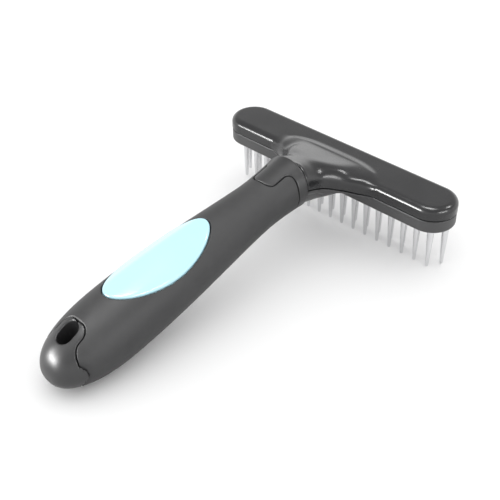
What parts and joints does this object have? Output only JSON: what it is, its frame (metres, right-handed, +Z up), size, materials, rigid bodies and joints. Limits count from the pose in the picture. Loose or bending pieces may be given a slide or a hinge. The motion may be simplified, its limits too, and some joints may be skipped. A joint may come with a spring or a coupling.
{
  "type": "undercoat rake",
  "caption": "T-shaped pet undercoat rake: a black bar head with two staggered rows of turning tapered steel pins on a rubber-covered handle with a pale blue oval inlay and a hang hole.",
  "frame": {"origin": "centre of the bounding box in plan, at the level the pin tips and the handle's underside stand on", "axes": "+X along the head bar, +Y from the handle's end towards the head, +Z up; the pins point along -Z"},
  "size_m": [0.1098, 0.1516, 0.04],
  "materials": {
    "gloss_black_plastic": "moulded ABS, glossy, fine moulding texture",
    "satin_black_plastic": "moulded ABS, satin",
    "hard_black_plastic": "moulded polypropylene, semi-matt",
    "grip_rubber_black": "thermoplastic rubber, matt, lightly scuffed",
    "inlay_pale_blue": "glossy pale blue plastic",
    "polished_steel": "polished stainless steel",
    "plate_steel": "rolled stainless sheet"
  },
  "bodies": {
    "rake": {"head_upper_shell": "gloss_black_plastic", "head_lower_shell": "satin_black_plastic", "pin_retainer_plate": "plate_steel", "handle_core": "hard_black_plastic", "grip_rubber": "grip_rubber_black", "grip_inlay": "inlay_pale_blue", "tang_cross_pin": "polished_steel"},
    "pin_front_01": {"pin_front_01": "polished_steel"},
    "pin_front_02": {"pin_front_02": "polished_steel"},
    "pin_front_03": {"pin_front_03": "polished_steel"},
    "pin_front_04": {"pin_front_04": "polished_steel"},
    "pin_front_05": {"pin_front_05": "polished_steel"},
    "pin_front_06": {"pin_front_06": "polished_steel"},
    "pin_front_07": {"pin_front_07": "polished_steel"},
    "pin_front_08": {"pin_front_08": "polished_steel"},
    "pin_front_09": {"pin_front_09": "polished_steel"},
    "pin_front_10": {"pin_front_10": "polished_steel"},
    "pin_front_11": {"pin_front_11": "polished_steel"},
    "pin_front_12": {"pin_front_12": "polished_steel"},
    "pin_front_13": {"pin_front_13": "polished_steel"},
    "pin_front_14": {"pin_front_14": "polished_steel"},
    "pin_front_15": {"pin_front_15": "polished_steel"},
    "pin_front_16": {"pin_front_16": "polished_steel"},
    "pin_front_17": {"pin_front_17": "polished_steel"},
    "pin_back_01": {"pin_back_01": "polished_steel"},
    "pin_back_02": {"pin_back_02": "polished_steel"},
    "pin_back_03": {"pin_back_03": "polished_steel"},
    "pin_back_04": {"pin_back_04": "polished_steel"},
    "pin_back_05": {"pin_back_05": "polished_steel"},
    "pin_back_06": {"pin_back_06": "polished_steel"},
    "pin_back_07": {"pin_back_07": "polished_steel"},
    "pin_back_08": {"pin_back_08": "polished_steel"},
    "pin_back_09": {"pin_back_09": "polished_steel"},
    "pin_back_10": {"pin_back_10": "polished_steel"},
    "pin_back_11": {"pin_back_11": "polished_steel"},
    "pin_back_12": {"pin_back_12": "polished_steel"},
    "pin_back_13": {"pin_back_13": "polished_steel"},
    "pin_back_14": {"pin_back_14": "polished_steel"},
    "pin_back_15": {"pin_back_15": "polished_steel"},
    "pin_back_16": {"pin_back_16": "polished_steel"},
    "pin_back_17": {"pin_back_17": "polished_steel"},
    "pin_back_18": {"pin_back_18": "polished_steel"}
  },
  "joints": [
    {"name": "pin_front_01_spin", "type": "hinge", "parent": "rake", "child": "pin_front_01", "pos_m": [-0.048, 0.0638, 0.0107], "axis": [0, 0, 1], "continuous": true},
    {"name": "pin_front_02_spin", "type": "hinge", "parent": "rake", "child": "pin_front_02", "pos_m": [-0.042, 0.0638, 0.0107], "axis": [0, 0, 1], "continuous": true},
    {"name": "pin_front_03_spin", "type": "hinge", "parent": "rake", "child": "pin_front_03", "pos_m": [-0.036, 0.0638, 0.0107], "axis": [0, 0, 1], "continuous": true},
    {"name": "pin_front_04_spin", "type": "hinge", "parent": "rake", "child": "pin_front_04", "pos_m": [-0.03, 0.0638, 0.0107], "axis": [0, 0, 1], "continuous": true},
    {"name": "pin_front_05_spin", "type": "hinge", "parent": "rake", "child": "pin_front_05", "pos_m": [-0.024, 0.0638, 0.0107], "axis": [0, 0, 1], "continuous": true},
    {"name": "pin_front_06_spin", "type": "hinge", "parent": "rake", "child": "pin_front_06", "pos_m": [-0.018, 0.0638, 0.0107], "axis": [0, 0, 1], "continuous": true},
    {"name": "pin_front_07_spin", "type": "hinge", "parent": "rake", "child": "pin_front_07", "pos_m": [-0.012, 0.0638, 0.0107], "axis": [0, 0, 1], "continuous": true},
    {"name": "pin_front_08_spin", "type": "hinge", "parent": "rake", "child": "pin_front_08", "pos_m": [-0.006, 0.0638, 0.0107], "axis": [0, 0, 1], "continuous": true},
    {"name": "pin_front_09_spin", "type": "hinge", "parent": "rake", "child": "pin_front_09", "pos_m": [0, 0.0638, 0.0107], "axis": [0, 0, 1], "continuous": true},
    {"name": "pin_front_10_spin", "type": "hinge", "parent": "rake", "child": "pin_front_10", "pos_m": [0.006, 0.0638, 0.0107], "axis": [0, 0, 1], "continuous": true},
    {"name": "pin_front_11_spin", "type": "hinge", "parent": "rake", "child": "pin_front_11", "pos_m": [0.012, 0.0638, 0.0107], "axis": [0, 0, 1], "continuous": true},
    {"name": "pin_front_12_spin", "type": "hinge", "parent": "rake", "child": "pin_front_12", "pos_m": [0.018, 0.0638, 0.0107], "axis": [0, 0, 1], "continuous": true},
    {"name": "pin_front_13_spin", "type": "hinge", "parent": "rake", "child": "pin_front_13", "pos_m": [0.024, 0.0638, 0.0107], "axis": [0, 0, 1], "continuous": true},
    {"name": "pin_front_14_spin", "type": "hinge", "parent": "rake", "child": "pin_front_14", "pos_m": [0.03, 0.0638, 0.0107], "axis": [0, 0, 1], "continuous": true},
    {"name": "pin_front_15_spin", "type": "hinge", "parent": "rake", "child": "pin_front_15", "pos_m": [0.036, 0.0638, 0.0107], "axis": [0, 0, 1], "continuous": true},
    {"name": "pin_front_16_spin", "type": "hinge", "parent": "rake", "child": "pin_front_16", "pos_m": [0.042, 0.0638, 0.0107], "axis": [0, 0, 1], "continuous": true},
    {"name": "pin_front_17_spin", "type": "hinge", "parent": "rake", "child": "pin_front_17", "pos_m": [0.048, 0.0638, 0.0107], "axis": [0, 0, 1], "continuous": true},
    {"name": "pin_back_01_spin", "type": "hinge", "parent": "rake", "child": "pin_back_01", "pos_m": [-0.051, 0.069, 0.0107], "axis": [0, 0, 1], "continuous": true},
    {"name": "pin_back_02_spin", "type": "hinge", "parent": "rake", "child": "pin_back_02", "pos_m": [-0.045, 0.069, 0.0107], "axis": [0, 0, 1], "continuous": true},
    {"name": "pin_back_03_spin", "type": "hinge", "parent": "rake", "child": "pin_back_03", "pos_m": [-0.039, 0.069, 0.0107], "axis": [0, 0, 1], "continuous": true},
    {"name": "pin_back_04_spin", "type": "hinge", "parent": "rake", "child": "pin_back_04", "pos_m": [-0.033, 0.069, 0.0107], "axis": [0, 0, 1], "continuous": true},
    {"name": "pin_back_05_spin", "type": "hinge", "parent": "rake", "child": "pin_back_05", "pos_m": [-0.027, 0.069, 0.0107], "axis": [0, 0, 1], "continuous": true},
    {"name": "pin_back_06_spin", "type": "hinge", "parent": "rake", "child": "pin_back_06", "pos_m": [-0.021, 0.069, 0.0107], "axis": [0, 0, 1], "continuous": true},
    {"name": "pin_back_07_spin", "type": "hinge", "parent": "rake", "child": "pin_back_07", "pos_m": [-0.015, 0.069, 0.0107], "axis": [0, 0, 1], "continuous": true},
    {"name": "pin_back_08_spin", "type": "hinge", "parent": "rake", "child": "pin_back_08", "pos_m": [-0.009, 0.069, 0.0107], "axis": [0, 0, 1], "continuous": true},
    {"name": "pin_back_09_spin", "type": "hinge", "parent": "rake", "child": "pin_back_09", "pos_m": [-0.003, 0.069, 0.0107], "axis": [0, 0, 1], "continuous": true},
    {"name": "pin_back_10_spin", "type": "hinge", "parent": "rake", "child": "pin_back_10", "pos_m": [0.003, 0.069, 0.0107], "axis": [0, 0, 1], "continuous": true},
    {"name": "pin_back_11_spin", "type": "hinge", "parent": "rake", "child": "pin_back_11", "pos_m": [0.009, 0.069, 0.0107], "axis": [0, 0, 1], "continuous": true},
    {"name": "pin_back_12_spin", "type": "hinge", "parent": "rake", "child": "pin_back_12", "pos_m": [0.015, 0.069, 0.0107], "axis": [0, 0, 1], "continuous": true},
    {"name": "pin_back_13_spin", "type": "hinge", "parent": "rake", "child": "pin_back_13", "pos_m": [0.021, 0.069, 0.0107], "axis": [0, 0, 1], "continuous": true},
    {"name": "pin_back_14_spin", "type": "hinge", "parent": "rake", "child": "pin_back_14", "pos_m": [0.027, 0.069, 0.0107], "axis": [0, 0, 1], "continuous": true},
    {"name": "pin_back_15_spin", "type": "hinge", "parent": "rake", "child": "pin_back_15", "pos_m": [0.033, 0.069, 0.0107], "axis": [0, 0, 1], "continuous": true},
    {"name": "pin_back_16_spin", "type": "hinge", "parent": "rake", "child": "pin_back_16", "pos_m": [0.039, 0.069, 0.0107], "axis": [0, 0, 1], "continuous": true},
    {"name": "pin_back_17_spin", "type": "hinge", "parent": "rake", "child": "pin_back_17", "pos_m": [0.045, 0.069, 0.0107], "axis": [0, 0, 1], "continuous": true},
    {"name": "pin_back_18_spin", "type": "hinge", "parent": "rake", "child": "pin_back_18", "pos_m": [0.051, 0.069, 0.0107], "axis": [0, 0, 1], "continuous": true}
  ]
}
